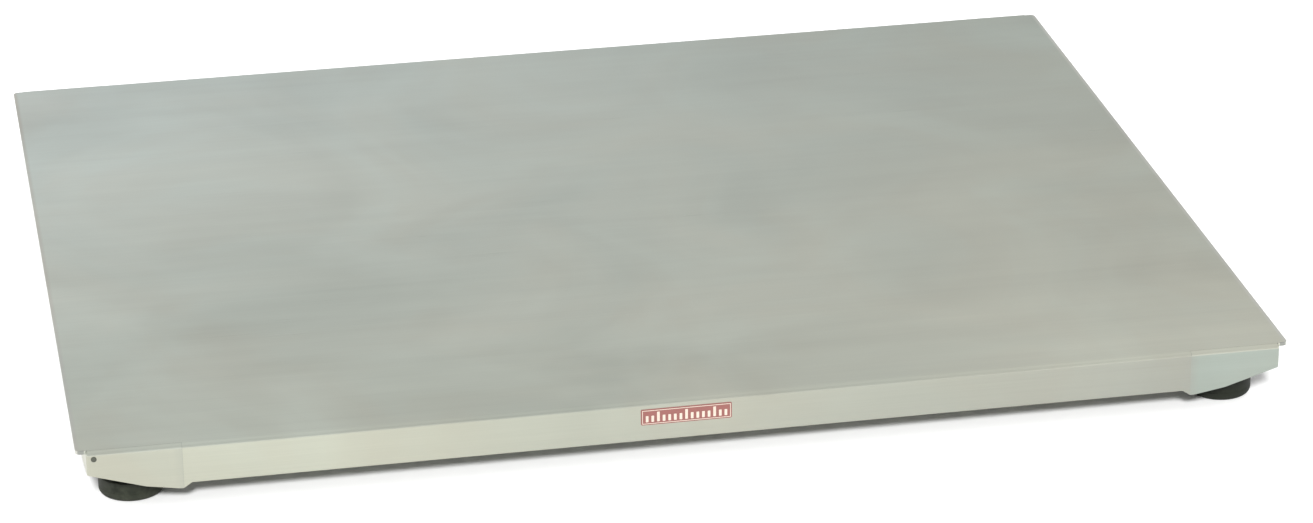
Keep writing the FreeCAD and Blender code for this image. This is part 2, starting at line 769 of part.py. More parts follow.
def junction_lid():
    """Flat lid held by a screw in each corner."""
    body = new_body("junction_lid")
    slab(body, "XY", "box_base - lid", "lid",
         rectangle("-box_half_x", "-box_half_y", "box_half_x", "box_half_y"))
    soften(body, "box_round", box_corner)
    for across in (-1, 1):
        for along in (-1, 1):
            hole(body, "XY", "box_base - lid", "lid", "%d * (box_half_x - boss_inset)" % across,
                 "%d * (box_half_y - boss_inset)" % along, "screw_radius + seam")
    return keep("junction_lid", body)


def junction_screws():
    made = []
    for across in (-1, 1):
        for along in (-1, 1):
            name = "lid_screw_%d%d" % (across + 1, along + 1)
            place = {"x": "%d * (box_half_x - boss_inset)" % across,
                     "y": "%d * (box_half_y - boss_inset)" % along}
            base = "box_base - lid - screw_head"
            shank = cylinder(name + "_shank", "screw_radius", "lid + screw_length", z="box_base - lid",
                             **place)
            head = cylinder(name + "_head", "2 * screw_radius", "screw_head", z=base, **place)
            socket = hexagon(name + "_socket", "1.5 * screw_radius", "screw_socket", z=base, **place)
            made.append(less(name, joined(name, shank, head), socket))
    return group("junction_screws", made)


def junction_board():
    """Summing board with a terminal block for each lead."""
    body = new_body("junction_board")
    slab(body, "XY", "board_level", "board", rectangle(
        "-board_half_x", "-board_half_y", "board_half_x", "board_half_y"))
    base = "board_level - terminal_height"
    for along in (-1, 1):
        for across in (-1, 1):
            x = "%d * cable_entry" % across
            y = "%d * (board_half_y - terminal_inset)" % along
            slab(body, "XY", base, "terminal_height", rectangle(
                x + " - terminal_length / 2", y + " - terminal_width / 2",
                x + " + terminal_length / 2", y + " + terminal_width / 2"))
    edge = "board_half_x - terminal_inset + 1"
    slab(body, "XY", base, "terminal_height", rectangle(
        edge + " - terminal_width", "-terminal_length / 2", edge, "terminal_length / 2"))
    slab(body, "XY", "board_level - chip_height", "chip_height", rectangle(
        "chip_half / 2 - chip_length", "-chip_half", "chip_half / 2", "chip_half"))
    return keep("junction_board", body)


def gland_nut(name):
    """Moulded gland along Y about its own origin: hexagon, dome and threaded neck."""
    body = new_body(name)
    point = "gland_flats / sqrt(3)"
    half = "gland_flats / 2"
    right = [(half, point + " / 2"), ("0", point), ("-" + half, point + " / 2")]
    slab(body, "XZ", "0", "gland_hexagon", right + [("-1 * (%s)" % x, "-1 * (%s)" % z) for x, z in right])
    disc(body, "XZ", "gland_hexagon", "gland_dome", "0", "0", "gland_dome")
    disc(body, "XZ", "-gland_thread", "gland_thread", "0", "0", "gland_neck")
    hole(body, "XZ", "-gland_thread", "gland_thread + gland_hexagon + gland_dome", "0", "0",
         "cable_radius + running_gap")
    tip = number("gland_hexagon + gland_dome")
    rim = number("gland_dome")
    soften(body, "cell_round", lambda p: abs(p.y - tip) < 0.1 and abs(math.hypot(p.x, p.z) - rim) < 0.1)
    return body


def junction_glands():
    """Four lead glands and the outlet gland of the junction box."""
    made = []
    places = [(across, along) for along in (-1, 1) for across in (-1, 1)]
    for index, (across, along) in enumerate(places):
        body = gland_nut("gland_%d" % index)
        bind(body, x="%d * cable_entry" % across, y="%d * box_half_y" % along, z="cable_level")
        body.Placement.Rotation = FreeCAD.Rotation(FreeCAD.Vector(0, 0, 1), 180 if along < 0 else 0)
        made.append(body)
    body = gland_nut("gland_out")
    bind(body, x="box_half_x", z="cable_level")
    body.Placement.Rotation = FreeCAD.Rotation(FreeCAD.Vector(0, 0, 1), -90)
    made.append(body)
    return group("junction_glands", made)


def outlet_grommet():
    """Grommet in the rear skirt where the indicator's lead leaves."""
    body = new_body("outlet_grommet")
    disc(body, "XZ", "depth / 2 - sheet", "sheet", "0", "outlet_level", "outlet_hole - running_gap")
    disc(body, "XZ", "depth / 2 - sheet - outlet_lip", "outlet_lip", "0", "outlet_level", "outlet_flange")
    hole(body, "XZ", "depth / 2 - sheet - outlet_lip", "sheet + outlet_lip", "0", "outlet_level",
         "outlet_bore")
    return keep("outlet_grommet", body)


def outlet_clamp():
    """Saddle under the plate that takes the pull on the indicator's lead."""
    body = new_body("outlet_clamp")
    near = "depth / 2 - clamp_inset - clamp_length"
    low = "outlet_level - clamp_drop"
    slab(body, "XZ", near, "clamp_length", rectangle("-clamp_half", low, "clamp_half", UNDERSIDE))
    hole(body, "XZ", near, "clamp_length", "0", "outlet_level", "outlet_bore + running_gap")
    soften(body, "clamp_round", lambda p: (abs(abs(p.x) - number("clamp_half")) < 0.01
                                           and abs(p.z - number(low)) < 0.01))
    return keep("outlet_clamp", body)


def build():
    """Every sub-part of the platform."""
    top_plate()
    for side in SIDES:
        side_channel(side)
    for name, middle in RIBS.items():
        stiffener(name, middle)
    badge()
    corner_plug()
    for corner in CORNERS:
        corner_shoe(corner)
        mount_block(corner)
        load_cell(corner)
        lock_nut(corner)
        foot_stem(corner)
        ball_seat(corner)
        retaining_ring(corner)
        foot_cup(corner)
        foot_sole(corner)
        cell_cable(corner)
    group("cell_caps", [cell_caps(corner) for corner in CORNERS])
    group("cell_bolts", [cell_bolts(corner) for corner in CORNERS])
    group("cell_washers", [cell_washers(corner) for corner in CORNERS])
    cable_clips()
    junction_box()
    junction_lid()
    junction_board()
    junction_screws()
    junction_glands()
    outlet_grommet()
    outlet_clamp()


def check_and_export():
    """Refuse failed features and broken shapes, then write one file per sub-part."""
    doc.recompute()
    failed = [item.Label for item in doc.Objects if {"Invalid", "Error"} & set(item.State)]
    if failed:
        raise RuntimeError("failed objects: " + ", ".join(failed))
    for label, feature in parts.items():
        if feature.Shape.isNull() or not feature.Shape.isValid():
            raise RuntimeError("bad shape: " + label)
    os.makedirs("parts", exist_ok=True)
    for label, feature in parts.items():
        feature.Shape.exportStep("parts/%s.step" % label)
    print("%d sub-parts written" % len(parts))


build()
check_and_export()
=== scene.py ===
import json
import math

import bmesh
import bpy
from mathutils import Matrix, Vector


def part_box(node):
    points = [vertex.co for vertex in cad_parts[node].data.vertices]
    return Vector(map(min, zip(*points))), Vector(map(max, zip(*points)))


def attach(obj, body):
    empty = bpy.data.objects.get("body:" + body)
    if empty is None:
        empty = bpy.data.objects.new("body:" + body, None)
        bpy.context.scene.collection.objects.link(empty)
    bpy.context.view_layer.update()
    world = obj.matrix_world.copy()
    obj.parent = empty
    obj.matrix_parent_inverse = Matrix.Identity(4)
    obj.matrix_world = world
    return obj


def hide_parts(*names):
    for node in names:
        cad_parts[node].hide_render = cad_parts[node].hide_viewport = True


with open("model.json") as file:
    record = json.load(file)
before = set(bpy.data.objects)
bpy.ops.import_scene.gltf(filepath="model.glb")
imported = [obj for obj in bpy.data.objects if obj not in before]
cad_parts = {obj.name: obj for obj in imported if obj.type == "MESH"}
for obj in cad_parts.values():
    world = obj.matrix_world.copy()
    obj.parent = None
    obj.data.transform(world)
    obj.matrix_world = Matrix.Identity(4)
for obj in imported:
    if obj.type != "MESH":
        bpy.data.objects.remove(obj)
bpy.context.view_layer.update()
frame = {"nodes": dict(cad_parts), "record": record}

nodes = frame["nodes"]
corners = {"fl": (-1, -1), "fr": (1, -1), "rl": (-1, 1), "rr": (1, 1)}
joints = {joint["name"]: joint for joint in frame["record"]["behaviour"]["joints"]}


class Sock:
    # a socket that takes part in sums, so that masks read as arithmetic
    def __init__(self, tree, socket):
        self.tree = tree
        self.socket = socket

    def maths(self, operation, *values, clamp=False):
        return node(self.tree, "ShaderNodeMath", {"operation": operation, "use_clamp": clamp},
                    dict(enumerate(values)))

    def __add__(self, other):
        return self.maths("ADD", self, other)

    def __sub__(self, other):
        return self.maths("SUBTRACT", self, other)

    def __mul__(self, other):
        return self.maths("MULTIPLY", self, other)

    def __rsub__(self, other):
        return self.maths("SUBTRACT", other, self)

    def __abs__(self):
        return self.maths("ABSOLUTE", self)

    def __lt__(self, other):
        return self.maths("LESS_THAN", self, other)

    __radd__ = __add__
    __rmul__ = __mul__

    def clip(self):
        return self.maths("MULTIPLY", self, 1.0, clamp=True)


def plug(tree, target, value):
    # a link for a socket, a plain setting for anything else
    if isinstance(value, Sock):
        tree.links.new(value.socket, target)
    elif isinstance(value, (tuple, list)) and target.type == "RGBA" and len(value) == 3:
        target.default_value = (*value, 1.0)
    else:
        target.default_value = value


def node(tree, kind, settings=None, inputs=None, output=0):
    made = tree.nodes.new(kind)
    for name, value in (settings or {}).items():
        setattr(made, name, value)
    for name, value in (inputs or {}).items():
        plug(tree, made.inputs[name], value)
    return Sock(tree, made.outputs[output])


def blendColour(tree, factor, first, second, kind="MIX"):
    return node(tree, "ShaderNodeMix", {"data_type": "RGBA", "blend_type": kind},
                {0: factor, 6: first, 7: second}, output=2)


def toned(tree, colour, shade):
    # the colour made lighter or darker by a plain number that varies
    grey = node(tree, "ShaderNodeCombineColor", None, {0: shade, 1: shade, 2: shade})
    return blendColour(tree, 1.0, colour, grey, "MULTIPLY")


def where(tree):
    # position on the object in metres
    return node(tree, "ShaderNodeTexCoord", output=3)


def axesOf(tree, place):
    return [node(tree, "ShaderNodeSeparateXYZ", None, {0: place}, output=i) for i in range(3)]


def stretched(tree, place, scale):
    return node(tree, "ShaderNodeVectorMath", {"operation": "MULTIPLY"}, {0: place, 1: scale})


def noise(tree, place, scale, detail=3.0, rough=0.55, warp=0.0):
    return node(tree, "ShaderNodeTexNoise", None,
                {"Vector": place, "Scale": scale, "Detail": detail, "Roughness": rough, "Distortion": warp})


def ramped(tree, value, low, high, fromLow=0.0, fromHigh=1.0):
    return node(tree, "ShaderNodeMapRange", {"clamp": True},
                {0: value, 1: fromLow, 2: fromHigh, 3: low, 4: high})


def bump(tree, height, strength, distance):
    return node(tree, "ShaderNodeBump", None, {"Height": height, "Strength": strength, "Distance": distance})


def finish(name, build, **fixed):
    # a material whose fixed settings sit on the shader's own sockets
    material = bpy.data.materials.new(name)
    material.use_nodes = True
    tree = material.node_tree
    shader = tree.nodes["Principled BSDF"]
    for socket, value in fixed.items():
        plug(tree, shader.inputs[socket.replace("_", " ")], value)
    for socket, value in build(tree).items():
        plug(tree, shader.inputs[socket], value)
    return material


print("materials: brushed sheet")
sheetLook = {
    "rearLeft": (0.605, 0.672, 0.640),      # top of the plate, by corner: painted reflection, lighter and cooler at the left, darker at the right rear
    "rearRight": (0.432, 0.474, 0.424),
    "frontLeft": (0.552, 0.592, 0.522),
    "frontRight": (0.525, 0.540, 0.462),
    "edge": (0.550, 0.565, 0.520),          # strip along the two free edges, lighter: a painted edge highlight
    "shadedTip": (0.300, 0.310, 0.285),       # cut end of that strip, seen from the front, darkened: painted shade
    # skirt tones: painted shade, darker than the top and darker towards the right
    "skirtLeft": (0.480, 0.494, 0.412),
    "skirtRight": (0.350, 0.361, 0.320),
    # shoe tones: painted shade, the right shoes darker
    "shoeLeft": (0.460, 0.475, 0.400),
    "shoeRight": (0.355, 0.402, 0.362),
    "dressedSeam": (0.355, 0.372, 0.335),
    "bright": 0.17,                         # painted highlight: lift of an area at the front right
    "highlightAcross": (0.05, 0.42),
    "highlightAlong": (-0.37, -0.24),
    "patchTone": (0.985, 0.955, 0.940),     # multiplies the tone in soft patches
    "patchEdge": (0.40, 0.64),
    "skirtShadeFade": (-0.3, 0.45),              # painted shade: from the left tone to the darker right one
    "shoeShadeFade": (-0.2, 0.2),
    "bendLevel": (0.0522, 0.0533),          # skirt tone below, top tone above; the one sheet gets a darker skirt, painted shade
    "edgeBand": (0.4960, 0.4985),
    "tipAcross": (0.4925, 0.4935),
    "tipAlong": (0.3948, 0.3957),
    "seamBand": (0.4160, 0.4235),
    "sideFace": (0.4910, 0.4918),
    "sideHead": 0.0525,
    "grain": (5.0, 620.0, 620.0),           # brushing lines, coarse and fine
    "hair": (14.0, 2300.0, 2300.0),
    "sideGrain": (620.0, 9.0, 1100.0),      # on the short sides it runs front to back
    "longMarks": (0.9, 95.0, 95.0),
    "bands": (2.6, 13.0, 13.0),
    "bandShare": 0.35,
    "cloud": 4.6,
    "patch": 5.2,
    "smudge": 9.0,
    "plateRoughness": 0.34,
    "shoeRoughness": 0.38,
    "seamRoughness": 0.42,
}
millLook = {
    "clean": (0.52, 0.53, 0.50),
    "dull": (0.40, 0.40, 0.37),
    "grit": 1400.0,
    "roughness": 0.46,
}


def brushed(tree):
    # the textures of brushed sheet: fine lines along X, long marks, soft clouds, faint smudges
    look = sheetLook
    place = where(tree)
    axes = axesOf(tree, place)
    coarse = noise(tree, stretched(tree, place, look["grain"]), 1.0, 2.0, 0.7)
    hair = noise(tree, stretched(tree, place, look["hair"]), 1.0, 2.0, 0.6)
    sideways = noise(tree, stretched(tree, place, look["sideGrain"]), 1.0, 2.0, 0.7)
    onSide = ramped(tree, abs(axes[0]), 0.0, 1.0, *look["sideFace"]) * (axes[2] < look["sideHead"])
    fine = (coarse + hair) * (0.5 - onSide * 0.5) + sideways * onSide
    marks = noise(tree, stretched(tree, place, look["longMarks"]), 1.0, 4.0, 0.6)
    clouds = noise(tree, place, look["cloud"], 3.0, 0.5, 0.6) - 0.5
    bands = noise(tree, stretched(tree, place, look["bands"]), 1.0, 3.0, 0.55, 0.8) - 0.5
    smudge = noise(tree, place, look["smudge"], 4.0, 0.6, 0.4)
    return {"place": place, "axes": axes, "fine": fine, "marks": marks,
            "clouds": clouds + bands * look["bandShare"], "smudge": smudge}


def patched(tree, place, colour):
    # soft patches, a little darker and warmer
    patch = noise(tree, place, sheetLook["patch"], 4.0, 0.55, 0.9)
    warmer = blendColour(tree, 1.0, colour, sheetLook["patchTone"], "MULTIPLY")
    return blendColour(tree, ramped(tree, patch, 0.0, 1.0, *sheetLook["patchEdge"]), colour, warmer)


def topTone(tree, x, y, clouds):
    # a tone for each corner with soft blends between them, a painted reflection of the surroundings, and a
    # brighter area at the front right, a painted highlight
    look = sheetLook
    across = (ramped(tree, x, 0.0, 1.0, -0.5, 0.5) + clouds * 0.5).clip()
    along = (ramped(tree, y, 0.0, 1.0, -0.4, 0.4) + clouds * 0.5).clip()
    # painted reflection: the corner tones blend across and along the top
    front = blendColour(tree, across, look["frontLeft"], look["frontRight"])
    rear = blendColour(tree, across, look["rearLeft"], look["rearRight"])
    # painted edge highlight: a lighter strip along the free edges
    colour = blendColour(tree, ramped(tree, abs(x), 0.0, 1.0, *look["edgeBand"]),
                         blendColour(tree, along, front, rear), look["edge"])
    # painted highlight: the top lifted at the front right
    bright = ramped(tree, x, 0.0, 1.0, *look["highlightAcross"])
    bright = bright * ramped(tree, y, 1.0, 0.0, *look["highlightAlong"])
    return toned(tree, colour, 1.0 + bright * look["bright"])


def plateSteel(tree):
    look, sheet = sheetLook, brushed(tree)
    x, y, z = sheet["axes"]
    fine, marks, clouds = sheet["fine"], sheet["marks"], sheet["clouds"]
    # painted shade: the skirt darker towards the right
    across = ramped(tree, x, 0.0, 1.0, *look["skirtShadeFade"])
    skirt = blendColour(tree, across, look["skirtLeft"], look["skirtRight"])
    # painted shade: below the bend the sheet takes the darker skirt tone
    onTop = ramped(tree, z, 0.0, 1.0, *look["bendLevel"])
    colour = blendColour(tree, onTop, skirt, topTone(tree, x, y, clouds))
    # painted shade: the cut tip at each corner darkened
    tip = ramped(tree, abs(x), 0.0, 1.0, *look["tipAcross"])
    tip = tip * ramped(tree, abs(y), 0.0, 1.0, *look["tipAlong"])
    colour = blendColour(tree, tip, patched(tree, sheet["place"], colour), look["shadedTip"])
    shade = 0.99 + clouds * (onTop * 0.28 + 0.22) + (marks - 0.5) * 0.10 + (fine - 0.5) * 0.20
    roughness = look["plateRoughness"] + (fine - 0.5) * 0.24 + (marks - 0.5) * 0.10
    roughness = roughness + (sheet["smudge"] - 0.5) * 0.10
    relief = bump(tree, fine * 0.8 + marks * 0.4, 0.12, 0.0004)
    return {"Base Color": toned(tree, colour, shade), "Roughness": roughness, "Normal": relief}


def shoeSteel(tree):
    look, sheet = sheetLook, brushed(tree)
    x, y, z = sheet["axes"]
    fine, marks, clouds, smudge = sheet["fine"], sheet["marks"], sheet["clouds"], sheet["smudge"]
    # painted shade: the shoes darker towards the right
    across = ramped(tree, x, 0.0, 1.0, *look["shoeShadeFade"])
    colour = blendColour(tree, across, look["shoeLeft"], look["shoeRight"])
    seam = ramped(tree, abs(x), 1.0, 0.0, *look["seamBand"]) * ramped(tree, smudge, 0.2, 0.8, 0.3, 0.7)
    colour = blendColour(tree, seam.clip(), colour, look["dressedSeam"])
    # painted shade and reflection: above the bend the shoe takes the top's tone, below it the darker shoe
    # tone
    colour = blendColour(tree, ramped(tree, z, 0.0, 1.0, *look["bendLevel"]), colour,
                         topTone(tree, x, y, clouds))
    colour = patched(tree, sheet["place"], colour)
    shade = 1.0 + (marks - 0.5) * 0.12 + (fine - 0.5) * 0.20 + clouds * 0.26
    roughness = look["shoeRoughness"] + (fine - 0.5) * 0.24 + (smudge - 0.5) * 0.14
    relief = bump(tree, fine * 0.6 + marks * 0.5, 0.14, 0.0005)
    return {"Base Color": toned(tree, colour, shade), "Roughness": roughness, "Normal": relief}


def seamSteel(tree):
    sheet = brushed(tree)
    colour = toned(tree, sheetLook["dressedSeam"], 0.95 + (sheet["smudge"] - 0.5) * 0.3)
    return {"Base Color": colour, "Roughness": sheetLook["seamRoughness"] + (sheet["fine"] - 0.5) * 0.2,
            "Normal": bump(tree, sheet["smudge"], 0.2, 0.0003)}


def millSteel(tree):
    sheet = brushed(tree)
    fine, marks, smudge = sheet["fine"], sheet["marks"], sheet["smudge"]
    dull = (smudge * 0.8 + sheet["clouds"] * 0.3 + 0.15).clip()
    colour = blendColour(tree, dull, millLook["clean"], millLook["dull"])
    roughness = millLook["roughness"] + (smudge - 0.5) * 0.22 + (fine - 0.5) * 0.10
    grit = noise(tree, sheet["place"], millLook["grit"], 2.0)
    relief = bump(tree, grit * 0.5 + marks * 0.5, 0.12, 0.0004)
    return {"Base Color": colour, "Roughness": roughness, "Normal": relief}


print("materials: machined, plated and moulded pieces")
alloyLook = {"bright": (0.71, 0.72, 0.73), "cut": (0.60, 0.61, 0.62), "arcs": 190.0, "grain": 700.0,
             "roughness": 0.30}
zincLook = {"clean": (0.66, 0.66, 0.62), "yellowed": (0.58, 0.56, 0.47), "spangle": 420.0, "film": 160.0,
            "roughness": 0.26}


def milledAlloy(tree):
    # fly-cut arcs across the bar
    place = where(tree)
    arcs = node(tree, "ShaderNodeTexWave", {"wave_type": "RINGS", "rings_direction": "Z"},
                {"Vector": stretched(tree, place, (1.0, 1.0, 0.0)), "Scale": alloyLook["arcs"],
                 "Distortion": 0.6, "Detail": 2.0})
    grain = noise(tree, place, alloyLook["grain"], 3.0)
    colour = blendColour(tree, arcs * 0.35 + grain * 0.3, alloyLook["bright"], alloyLook["cut"])
    return {"Base Color": colour, "Roughness": alloyLook["roughness"] + arcs * 0.08 + (grain - 0.5) * 0.12,
            "Normal": bump(tree, arcs + grain * 0.4, 0.12, 0.0003)}


def zincPlate(tree):
    place = where(tree)
    spangle = node(tree, "ShaderNodeTexVoronoi", None, {"Vector": place, "Scale": zincLook["spangle"]})
    film = noise(tree, place, zincLook["film"], 4.0, 0.6, 0.5)
    colour = blendColour(tree, film, zincLook["clean"], zincLook["yellowed"])
    return {"Base Color": colour, "Roughness": zincLook["roughness"] + film * 0.16 + spangle * 0.05,
            "Normal": bump(tree, film * 0.6 + spangle * 0.2, 0.08, 0.0002)}


def moulded(light, dark, roughness, grainScale, depth):
    # moulded plastic with a fine grain and a little dust
    def build(tree):
        place = where(tree)
        grain = noise(tree, place, grainScale, 3.0, 0.6)
        dust = noise(tree, place, 55.0, 4.0, 0.6, 0.5)
        colour = blendColour(tree, ramped(tree, dust, 0.0, 1.0, 0.35, 0.75), dark, light)
        return {"Base Color": colour, "Roughness": roughness + (grain - 0.5) * 0.16 + (dust - 0.5) * 0.14,
                "Normal": bump(tree, grain, depth, 0.0004)}
    return build


rubberLook = {
    "clean": (0.009, 0.011, 0.007),
    "dustAndSheen": (0.038, 0.042, 0.029),
    "grain": 900.0,
    "film": 70.0,
    "sheenHeight": 0.010,                    # paler below this: a painted highlight band
    "rightShare": 0.15,                     # share of the pale tone kept on the right feet, so they are darker
    "roughness": 0.62,
    "gloss": 0.28,
    "cupGloss": 0.24,
}


def footRubber(tree):
    # moulded rubber with a mottled film of dust, paler towards the floor as a painted highlight
    look = rubberLook
    place = where(tree)
    axes = axesOf(tree, place)
    grain = noise(tree, place, look["grain"], 3.0, 0.6)
    film = noise(tree, place, look["film"], 4.0, 0.6, 0.6)
    # painted highlight: the pale tone grows towards the floor
    low = ramped(tree, axes[2], 1.0, 0.0, 0.0, look["sheenHeight"])
    share = ramped(tree, axes[0], 1.0, look["rightShare"], -0.3, 0.3)
    dustAndSheen = (ramped(tree, film, 0.0, 0.8, 0.35, 0.70) + low * 0.25) * share
    colour = blendColour(tree, dustAndSheen.clip(), look["clean"], look["dustAndSheen"])
    return {"Base Color": colour, "Roughness": look["roughness"] + (grain - 0.5) * 0.2 + low * 0.08,
            "Normal": bump(tree, grain * 0.7 + film * 0.5, 0.22, 0.0004)}


boardLook = {"mask": (0.012, 0.10, 0.035), "track": (0.05, 0.24, 0.08), "tracks": 90.0, "weave": 600.0,
             "roughness": 0.28}


def solderMask(tree):
    # green board with copper tracks under the mask
    place = where(tree)
    tracks = node(tree, "ShaderNodeTexBrick", None,
                  {"Vector": place, "Scale": boardLook["tracks"], "Mortar Size": 0.03,
                   "Color1": (0.0, 0.0, 0.0), "Color2": (0.1, 0.1, 0.1), "Mortar": (1.0, 1.0, 1.0)})
    weave = noise(tree, place, boardLook["weave"], 2.0)
    colour = blendColour(tree, tracks * 0.6 + weave * 0.1, boardLook["mask"], boardLook["track"])
    return {"Base Color": colour, "Roughness": boardLook["roughness"] + weave * 0.12,
            "Normal": bump(tree, tracks, 0.2, 0.0002)}


labelLook = {
    "ground": (0.225, 0.080, 0.070),
    "groundWorn": (0.175, 0.068, 0.060),
    "print": (0.54, 0.46, 0.39),
    "printWorn": (0.45, 0.38, 0.32),
    "groundDepth": 0.0003,      # ground sheet on the skirt
    "printDepth": 0.0006,       # raised border and graduation marks
    "chamfer": 0.0001,
    "cornerRadius": 0.0012,
    "leastRadius": 0.0002,
    "borderInset": 0.0009,
    "borderWidth": 0.0006,
    "marks": 15,
    "longEvery": 5,
    "longMark": 0.0088,
    "shortMark": 0.0056,
    "markWidth": 0.0024,
    "markRadius": 0.0004,
    "markDraft": (0.93, 0.98),  # face over foot, across and up
}


def labelEnamel(tree):
    # raised print is pale, the sheet behind it dark red
    place = where(tree)
    cloth = noise(tree, place, 500.0, 3.0)
    fade = noise(tree, place, 110.0, 3.0, 0.5, 0.3)
    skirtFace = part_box("top_plate")[0][1]
    raised = axesOf(tree, place)[1] < skirtFace - 0.8 * labelLook["printDepth"]
    ground = blendColour(tree, fade, labelLook["ground"], labelLook["groundWorn"])
    printed = blendColour(tree, fade, labelLook["print"], labelLook["printWorn"])
    return {"Base Color": blendColour(tree, raised, ground, printed), "Roughness": 0.42 + cloth * 0.14,
            "Normal": bump(tree, cloth, 0.08, 0.0002)}


beadLook = {"straw": (0.46, 0.43, 0.36), "blue": (0.27, 0.28, 0.31), "tint": 130.0, "roughness": 0.36}


def weldMetal(tree):
    # dull bead with straw and blue heat tints
    place = where(tree)
    tint = noise(tree, place, beadLook["tint"], 3.0, 0.6, 0.4)
    colour = blendColour(tree, tint, beadLook["straw"], beadLook["blue"])
    return {"Base Color": colour, "Roughness": beadLook["roughness"] + tint * 0.2,
            "Normal": bump(tree, tint, 0.15, 0.0004)}


# light tone, dark tone, roughness, scale of the grain and strength of its bump
mouldedLook = {
    "seat": ((0.80, 0.78, 0.72), (0.70, 0.68, 0.62), 0.42, 500.0, 0.08),
    "ring": ((0.05, 0.05, 0.05), (0.03, 0.03, 0.03), 0.50, 600.0, 0.10),
    "lead": ((0.10, 0.10, 0.10), (0.05, 0.05, 0.05), 0.45, 400.0, 0.10),
    "clip": ((0.72, 0.71, 0.66), (0.60, 0.59, 0.54), 0.45, 500.0, 0.10),
    "box": ((0.42, 0.44, 0.45), (0.34, 0.36, 0.37), 0.55, 900.0, 0.25),
    "gland": ((0.06, 0.06, 0.065), (0.03, 0.03, 0.035), 0.45, 600.0, 0.15),
    "plug": ((0.085, 0.090, 0.070), (0.045, 0.048, 0.036), 0.50, 600.0, 0.10),
}
finishes = {
    "plate_steel": finish("brushedPlate", plateSteel, Metallic=1.0),
    "shoe_steel": finish("brushedShoe", shoeSteel, Metallic=1.0),
    "channel_steel": finish("rolledChannel", millSteel, Metallic=1.0),
    "rib_steel": finish("rolledRib", millSteel, Metallic=1.0),
    "block_steel": finish("milledBlock", milledAlloy, Metallic=1.0),
    "cell_alloy": finish("milledCell", milledAlloy, Metallic=1.0),
    "cap_alloy": finish("cellCover", milledAlloy, Metallic=1.0),
    "bolt_steel": finish("zincBolt", zincPlate, Metallic=1.0),
    "nut_steel": finish("zincNut", zincPlate, Metallic=1.0),
    "stem_steel": finish("zincStem", zincPlate, Metallic=1.0),
    "seat_plastic": finish("acetalSeat", moulded(*mouldedLook["seat"])),
    "ring_plastic": finish("snapRing", moulded(*mouldedLook["ring"])),
    "cup_plastic": finish("footCup", footRubber, Specular_IOR_Level=rubberLook["cupGloss"]),
    "sole_rubber": finish("footRubber", footRubber, Specular_IOR_Level=rubberLook["gloss"]),
    "lead_jacket": finish("leadJacket", moulded(*mouldedLook["lead"])),
    "clip_plastic": finish("nylonClip", moulded(*mouldedLook["clip"])),
    "box_plastic": finish("boxShell", moulded(*mouldedLook["box"])),
    "board_green": finish("summingBoard", solderMask),
    "gland_plastic": finish("glandNylon", moulded(*mouldedLook["gland"])),
    "grommet_rubber": finish("grommetRubber", footRubber),
    "badge_red": finish("labelEnamel", labelEnamel),
    "plug_black": finish("plugNylon", moulded(*mouldedLook["plug"])),
    "weld": finish("weldBead", weldMetal, Metallic=1.0),
    "seam": finish("dressedSeam", seamSteel, Metallic=1.0),
}

slotOf = {part["node"]: part["material_slot"] for part in frame["record"]["subparts"]}
for name, piece in nodes.items():
    piece.data.materials.clear()
    piece.data.materials.append(finishes[slotOf[name]])


def addPiece(name, shape, body, slot, look=None, stands=(), sharp=32.0):
    # turn mesh code's result into a piece that rides on a body
    bmesh.ops.recalc_face_normals(shape, faces=shape.faces)
    mesh = bpy.data.meshes.new(name)
    shape.to_mesh(mesh)
    shape.free()
    mesh.polygons.foreach_set("use_smooth", [True] * len(mesh.polygons))
    mesh.set_sharp_from_angle(angle=math.radians(sharp))
    mesh.materials.append(finishes[look or slot])
    piece = bpy.data.objects.new(name, mesh)
    bpy.context.scene.collection.objects.link(piece)
    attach(piece, body)
    if stands:
        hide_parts(*stands)


def ringOf(shape, points, place=Matrix()):
    return [shape.verts.new(place @ Vector(point)) for point in points]


def bridge(shape, low, high):
    # faces between two closed rings, either of which may be one point
    count = max(len(low), len(high))
    for k in range(count):
        found = dict.fromkeys((low[k % len(low)], low[(k + 1) % len(low)],
                               high[(k + 1) % len(high)], high[k % len(high)]))
        if len(found) > 2:
            shape.faces.new(list(found))


def spun(shape, profile, place, sides=96):
    # a turned piece about the local Z axis, from its radius and height at each step
    rings = []
    for radius, level in profile:
        steps = range(sides) if radius > 1e-6 else range(1)
        rings.append(ringOf(shape, [(radius * math.cos(math.tau * k / sides),
                                     radius * math.sin(math.tau * k / sides), level) for k in steps], place))
    for low, high in zip(rings, rings[1:]):
        bridge(shape, low, high)


def arcSteps(centre, radius, start, end, count):
    # points along an arc, angles in degrees
    turns = [math.radians(start + (end - start) * k / count) for k in range(count + 1)]
    return [(centre[0] + radius * math.cos(turn), centre[1] + radius * math.sin(turn)) for turn in turns]


def roundedOutline(halfWide, halfHigh, radius, steps=6):
    outline = []
    for index, (across, up) in enumerate(((1, 1), (-1, 1), (-1, -1), (1, -1))):
        centre = (across * (halfWide - radius), up * (halfHigh - radius))
        outline += arcSteps(centre, radius, 90 * index, 90 * index + 90, steps)
    return outline


def jointPoint(name):
    return Vector(joints[name]["pos_m"])


print("pieces: soles")
soleLook = {
    "edge": 0.0040,             # round edge at the floor
    "lip": 0.0006,
    "grooves": (0.0050, 0.0095, 0.0140, 0.0185),
    "grooveWidth": 0.0016,
    "grooveDepth": 0.0010,
    "grooveFloor": 0.6,         # floor's share of the width
    "spigot": 0.0240,
    "floorSheet": 0.0020,
}


